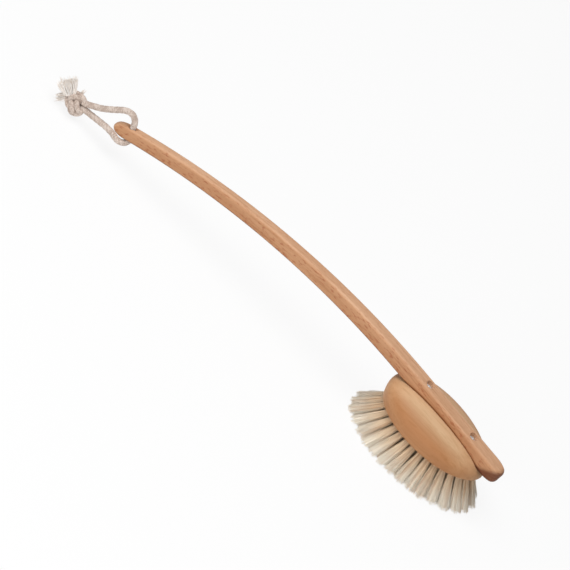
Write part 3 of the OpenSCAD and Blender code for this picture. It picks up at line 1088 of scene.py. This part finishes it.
@dataclass
class HangingCord:
    """The cotton cord through the stick's end: two stretches, a knot, two frayed tails and a loose wisp.

    The stretches' places are in millimetres from the hole: towards the stick's end, across it and out of its back.
    The knot's turns and the frays are laid out to the right, up and near in the picture, from the knot's middle.
    """

    diameter: float = 5.5 * MM
    step: float = 0.5 * MM
    seed: int = 11
    upper: tuple[Place, ...] = (
        (0, 0, 0), (0, 0, 5), (-0.3, 0, 10), (0, 0, 14.5), (3, 0, 18.8), (8, 0, 20), (13.5, 0, 18.5), (22, 0, 14),
        (32, 0, 9.2), (41, 0, 6.4), (46, 0, 5.0), (51.5, 0, 4.3))
    lower: tuple[Place, ...] = (
        (0, 0, 0), (0, 0, -4.4), (0.2, -0.13, -6.3), (1.05, -0.68, -8.05), (2.6, -1.68, -9.2), (4.6, -2.95, -9.6),
        (6.7, -4.2, -9.2), (8.8, -5.4, -8), (10.9, -6, -6.5), (13.2, -5.9, -5.1), (16.2, -5.3, -4.1),
        (20, -4.6, -3.3), (24, -3.9, -2.8), (31, -2.8, -2.4), (39, -1.6, -2), (46, -0.6, -1.5), (51.5, 0, -1.3))
    knot: Span = (57.5, -1.2)
    bights: tuple[tuple[Place, ...], ...] = (
        ((-6, 2, -4), (-2, 4, -5.5), (3, 3, -5.5), (6, 0, -3)),
        ((-4, -3, -4.5), (0, -1, -5.5), (4, -3, -4.5)),
        ((-3, 10, -1), (0.6, 9.4, 0.8), (4.2, 7.4, 1.8), (6.8, 4.4, 2.6), (7.4, 1.6, 3.4)),
        ((-4.6, 8.2, -1.5), (-7, 6.2, 0.2), (-7.4, 2.6, 1), (-6.6, -0.8, 0), (-4, -3, -3)),
        ((-4.2, -2.4, -3.6), (-4.8, -5, -1.8), (-2.8, -7.4, -0.2), (0.6, -8.3, 0.8), (3.2, -7.8, 1.5), (4.9, -6, 1.8),
         (5.4, -3.6, 1.6)),
        ((-2, 5.5, -1), (-3.6, 4, 3), (-3.8, 0.2, 5.2), (-3.2, -4.6, 4.6), (-2, -7.4, 1.2), (-0.6, -7, -3)),
        ((2.2, 5.5, -1), (1, 4, 3.4), (0.8, 0.2, 5.6), (1.4, -4.4, 5), (2.6, -7.2, 1.4), (3.4, -6, -3)),
        ((-5.6, -1, -3.5), (-6, 2.8, 1), (-4.4, 5.4, 5), (-1.4, 6.4, 6.6), (1.6, 5.6, 5.8), (3.6, 3.2, 2.6),
         (4, 0, -1)),
    )
    tail: Fray = Fray((-4.4, 8.6, 1.5), (-7.6, 21, 5), 5, 9.6, 440)
    stub: Fray = Fray((-7.6, 7.2, -1), (-16.4, 5.8, -6), 2.2, 3.6, 100)
    wisp: Fray = Fray((4.6, 9.0, 0), (7.8, 12.2, 1), 0.5, 1.0, 14)
    tight: Braid = Braid(radius=1.95 * MM, weave=0.22 * MM, half_thick=0.4 * MM, half_wide=0.78 * MM, core=1.85 * MM,
                         lay=13 * MM)
    braid: Braid = Braid()

    def build(self, stick: StickLine, gaze: Gaze) -> None:
        """Makes the cord's pieces and declares its two stretches.

        Args:
            stick: The line of the stick that the cord hangs from.
            gaze: The view that the knot's turns are laid out in.
        """
        dice = random.Random(self.seed)
        hole, along, back = stick.at(stick.hole)
        across = Vector((0, 1, 0))
        middle = hole + (along * self.knot[0] + back * self.knot[1]) * MM
        layout = Matrix.Translation(middle) @ (Matrix(gaze.axes()).transposed() * MM).to_4x4()
        cotton = Cotton("cotton_braid", "dfd0c5", "a48a79").material()
        frayed = Cotton("cotton_fray", "fffaf5", "e9d9c8").material()
        knot = self._knot(layout, dice)
        tail = self.tail.build("cord_long_fray", layout, dice)
        stub = self.stub.build("cord_short_fray", layout, dice)
        wisp = self.wisp.build("cord_wisp", layout, dice)
        present(wisp, Body.LOOP, Slot.CORD, frayed)
        present(knot, Body.LOOP, Slot.CORD, cotton, "cord_knot")
        present(tail, Body.LOOP, Slot.CORD, frayed, "cord_tail")
        present(stub, Body.LOOP, Slot.CORD, frayed, "cord_stub")
        runs = (("cord_upper", self.upper, [knot, tail, stub, wisp]), ("cord_lower", self.lower, []))
        for node, route, others in runs:
            line = Line([hole + (along * a + across * b + back * c) * MM for a, b, c in route], self.step)
            mesh = new_strands()
            self.braid.along(mesh, line, dice)
            close_strands(mesh)
            piece = add_piece(f"{node}_run", mesh)
            present(piece, Body.LOOP, Slot.CORD, cotton, node)
            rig.cord(piece, exit=tuple(hole), length=line.length, diameter=self.diameter, far_end="knot",
                    stiffness="limp", lay="hanging", path=line.points, with_pieces=others)

    def _knot(self, layout: Matrix, dice: random.Random) -> bpy.types.Object:
        """Lays the knot's turns, back ones first.

        Args:
            layout: Places points in mm to the right, up and near in the picture, from the knot's middle.
            dice: The random source.

        Returns:
            The knot.
        """
        mesh = new_strands()
        for bight in self.bights:
            self.tight.along(mesh, Line([layout @ Vector(place) for place in bight], self.step), dice)
        close_strands(mesh)
        return add_piece("cord_knot_tie", mesh)


@dataclass
class Stick:
    """The bent wooden handle, with painted shade on its toe's lower end (partly darker end grain), on its underside
    and where it meets the head.
    """

    line: StickLine
    sharp: float = 32
    # Painted shade on the toe's lower end, partly darker end grain.
    toe: StainAndShade = StainAndShade(Spread.SLANT, (0, 0, 0), (-560, 0, -830), 29, 34.5, "9a7c6d")
    # Painted shade along the stick's underside and lower edge.
    underside_shade: StainAndShade = StainAndShade(Spread.SLANT, (0, 0, 0), (6, 0, -1000), 5.5, 7.5, "987868")
    # Painted shade in the crease where the stick meets the head.
    seam_shade: StainAndShade = StainAndShade(Spread.OVAL, (-5 * MM, 0, -14 * MM), (1 / (56.3 * MM), 0, 1 / (13.2 * MM)),
                        1.18, 1.03, "a3846a")

    def build(self) -> None:
        """Copies the CAD handle and lays the wood's grain along its bend."""
        piece = merged_copy("handle", "bent_stick", self.sharp)
        layers = piece.data.attributes
        layers.new("grain", "FLOAT_VECTOR", "POINT")
        layers.new("shaded_flank", "FLOAT", "POINT")
        # How far out towards a side each point lies, which places the painted shade on the sides.
        for point, place, share in zip(piece.data.vertices, layers["grain"].data, layers["shaded_flank"].data):
            place.vector = self.line.unbent(point.co)
            share.value = abs(point.co.y) / self.line.half_wide(place.vector[0])
        # Its sides take a painted shade tint.
        wood = Wood("stick_wood", "d5aa88", "c89a77", "b07d56", "a35f3d", Grain.BENT,
                    (self.toe, self.underside_shade, self.seam_shade), fleck_share=0.75, shaded_flank="f0e2d3")
        present(piece, Body.BRUSH, Slot.STICK, wood.material(), "handle")


@dataclass
class Head:
    """The oval wooden head, darker towards its edge: painted shade where the dome curves down, partly a darker finish.
    """

    sharp: float = 32
    # Painted shade towards the dome's edge, partly a darker finish.
    rim_shade: StainAndShade = StainAndShade(Spread.OVAL, (HEAD_X, 0, 0), (1 / (80 * MM), 1 / (36 * MM), 0), 0.5, 0.92, "dec2ab")

    def build(self) -> None:
        """Copies the CAD head block."""
        piece = merged_copy("head_block", "oval_head", self.sharp)
        wood = Wood("head_wood", "d4b08a", "caa27b", "b18659", "9c7043", Grain.STRAIGHT, (self.rim_shade,),
                    fleck_share=0.08, band_share=0.3)
        present(piece, Body.BRUSH, Slot.HEAD, wood.material(), "head_block")


@dataclass
class Screws:
    """The two sunk steel screws, and the wire anchors of the tufts inside the head."""

    sharp: float = 30

    def build(self) -> None:
        """Copies the CAD screws and finishes the hidden anchors."""
        bright = Steel("bright_steel", "f0f1f2", "c4c6c8").material()
        for end in ("toe", "heel"):
            piece = merged_copy(f"screw_{end}", f"sunk_screw_{end}", self.sharp)
            present(piece, Body.BRUSH, Slot.SCREW, bright, f"screw_{end}")
        anchors = frame["nodes"]["tuft_anchors"]
        anchors.data.materials.clear()
        anchors.data.materials.append(Steel("anchor_wire", "b9babd", "8d8e90").material())


@dataclass(frozen=True)
class Tuft:
    """One tuft: its root's place from the head's middle, how it differs from the next one, and its clumps of hairs.

    Each clump has a tint and a length that it falls short by.
    """

    root: Vector
    sway: Vector
    girth: float
    clumps: tuple[Span, ...]

    def clump(self, off: Vector) -> tuple[float, float]:
        """Gives the tint and the shortfall of the clump that a hair at this place in the tuft belongs to."""
        turn = math.atan2(off.y, off.x) / math.tau % 1.0
        return self.clumps[int(turn * len(self.clumps)) % len(self.clumps)]


@dataclass
class TuftField:
    """The bristles: tufts on rings of the oval face, each a fan of stiff hairs.

    Most hairs stand in a tuft's shell, round a packed heart. A clump's hairs fall short together.
    """

    face: Span = (100 * MM, 63 * MM)
    length: float = 32 * MM
    shift: float = 2 * MM
    rings: tuple[tuple[str, int], ...] = (("outer", 30), ("middle", 22), ("core", 12))
    root_radius: float = 2.3 * MM
    tip_radius: float = 6.3 * MM
    fan: Span = (math.radians(38.5), math.radians(25.5))
    hairs: int = 260
    clumps: int = 16
    shell_share: float = 0.65
    shell_inside: float = 0.75
    heart_length: float = 0.93
    heart_radius: float = 0.8
    heart_tints: Span = (0.3, 0.6)
    heart_cuts: int = 5
    sunk: float = 1.0 * MM
    droop: float = 0.06
    pinch: float = 0.1 * MM
    girths: Span = (0.95, 1.05)
    sway_mm: float = 0.35
    stray_mm: float = 0.35
    clump_short_mm: float = 0.7
    hair_short_mm: float = 0.3
    hair_radii_mm: Span = (0.14, 0.22)
    hair_tint: float = 0.3
    batch: int = 20
    seed: int = 5

    def place(self, ring: int, number: int, count: int) -> Vector:
        """Gives the place of a tuft's root on the head's face, from the head's middle.

        Args:
            ring: The ring, counted inwards.
            number: The tuft's number on it.
            count: Tufts on the ring.

        Returns:
            The root's place.
        """
        step = self.face[1] / (2 * len(self.rings))
        long, wide = (side / 2 - step * (ring + 0.5) for side in self.face)
        runs = [0.0]
        for degree in range(360):
            turn = math.radians(degree + 0.5)
            runs.append(runs[-1] + math.hypot(long * math.sin(turn), wide * math.cos(turn)))
        wanted = runs[-1] * (number + 0.5) / count
        turn = math.radians(next(degree for degree, run in enumerate(runs) if run >= wanted))
        return Vector((long * math.cos(turn), wide * math.sin(turn), 0))

    def build(self) -> None:
        """Makes one piece for each ring of tufts."""
        dice = random.Random(self.seed)
        finish = Fibre().material()
        for ring, (name, count) in enumerate(self.rings):
            whole = new_strands()
            for number in range(count):
                tuft = self._tuft(self.place(ring, number, count), dice)
                gather(whole, self._heart(tuft))
                lines = self._hairs(tuft, dice)
                for first in range(0, len(lines), self.batch):
                    gather(whole, Hair().bundle(lines[first:first + self.batch]))
            smooth_outside(whole)
            piece = add_piece(f"tufts_{name}", whole)
            present(piece, Body.BRUSH, Slot.FIBRE, finish, f"bristles_{name}")

    def _tuft(self, root: Vector, dice: random.Random) -> Tuft:
        """Draws what makes one tuft unlike the next.

        Args:
            root: The tuft's place on the face, from the head's middle.
            dice: The random source.

        Returns:
            The tuft.
        """
        sway = self._aside(self.sway_mm, dice)
        girth = dice.uniform(*self.girths)
        clumps = tuple((dice.random(), abs(dice.gauss(0, self.clump_short_mm)) * MM) for _ in range(self.clumps))
        return Tuft(root, sway, girth, clumps)

    @staticmethod
    def _aside(spread: float, dice: random.Random) -> Vector:
        """Draws a level push whose spread is in millimetres."""
        return Vector((dice.gauss(0, spread), dice.gauss(0, spread), 0)) * MM

    def _hairs(self, tuft: Tuft, dice: random.Random) -> list[tuple[tuple[Vector, Vector, Vector], float, float]]:
        """Gives the hairs of one tuft.

        Args:
            tuft: The tuft.
            dice: The random source.

        Returns:
            Each hair's control points, radius and tint.
        """
        lines = []
        for number in range(self.hairs):
            inside = self.shell_inside if number < self.shell_share * self.hairs else 0.0
            spot, turn = math.sqrt(dice.uniform(inside ** 2, 1)), dice.uniform(0, math.tau)
            off = Vector((math.cos(turn), math.sin(turn), 0)) * spot
            tint, short = tuft.clump(off)
            drop = self.length - short - abs(dice.gauss(0, self.hair_short_mm)) * MM
            stray = self._aside(self.stray_mm, dice)
            start, bow, tip = self._bent(tuft, off, drop)
            radius = dice.uniform(*self.hair_radii_mm) * MM
            tint += self.hair_tint * (dice.random() - tint)
            lines.append(((start, bow, tip + stray), radius, tint))
        return lines

    def _bent(self, tuft: Tuft, off: Vector, drop: float) -> tuple[Vector, Vector, Vector]:
        """Gives the line of a hair.

        Args:
            tuft: The tuft.
            off: The hair's place in the tuft, as a share of its radius.
            drop: How far down the hair reaches.

        Returns:
            Its root, a point that bends it and its tip.
        """
        lean = Vector((math.tan(self.fan[0] * 2 * tuft.root.x / self.face[0]),
                       math.tan(self.fan[1] * 2 * tuft.root.y / self.face[1]), 0))
        top = Vector((HEAD_X, 0, FACE_Z)) + tuft.root
        start = top + off * self.root_radius + Vector((0, 0, self.sunk))
        tip = top + lean * drop + off * (self.tip_radius * tuft.girth) - Vector((self.shift, 0, drop))
        bow = start.lerp(tip, 0.5) - lean * (drop * self.droop) - off * self.pinch
        return start, bow, tip + tuft.sway

    def _heart(self, tuft: Tuft) -> bmesh.types.BMesh:
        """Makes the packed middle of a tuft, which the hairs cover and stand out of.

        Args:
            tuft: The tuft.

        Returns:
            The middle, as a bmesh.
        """
        mesh = new_strands()
        upright_cone(mesh, 2 * self.clumps, 1.0, self.heart_cuts, True)
        layer = mesh.verts.layers.float["tint"]
        base, own = self.heart_tints
        for vert in mesh.verts:
            off = Vector((vert.co.x, vert.co.y, 0)) * self.heart_radius
            vert.co = bowed(*self._bent(tuft, off, self.length), vert.co.z * self.heart_length)
            vert[layer] = base + own * tuft.clump(off)[0]
        return mesh


def main() -> None:
    """Builds the studio and the brush, piece by piece."""
    logging.basicConfig(level=logging.INFO, format="%(name)s: %(message)s")
    line = StickLine()
    _, _, back = line.at(0.0)
    gaze = Gaze()
    Studio(gaze).build(line.start() + back * (line.thick / 2))
    HangingCord().build(line, gaze)
    Stick(line).build()
    Head().build()
    Screws().build()
    TuftField().build()
    boxes = {"cad": CAD_BOX, "visual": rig.bounds()}
    with open("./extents.json", "w") as file:
        json.dump({name: [list(corner) for corner in box] for name, box in boxes.items()}, file)


if __name__ == "__main__":
    main()
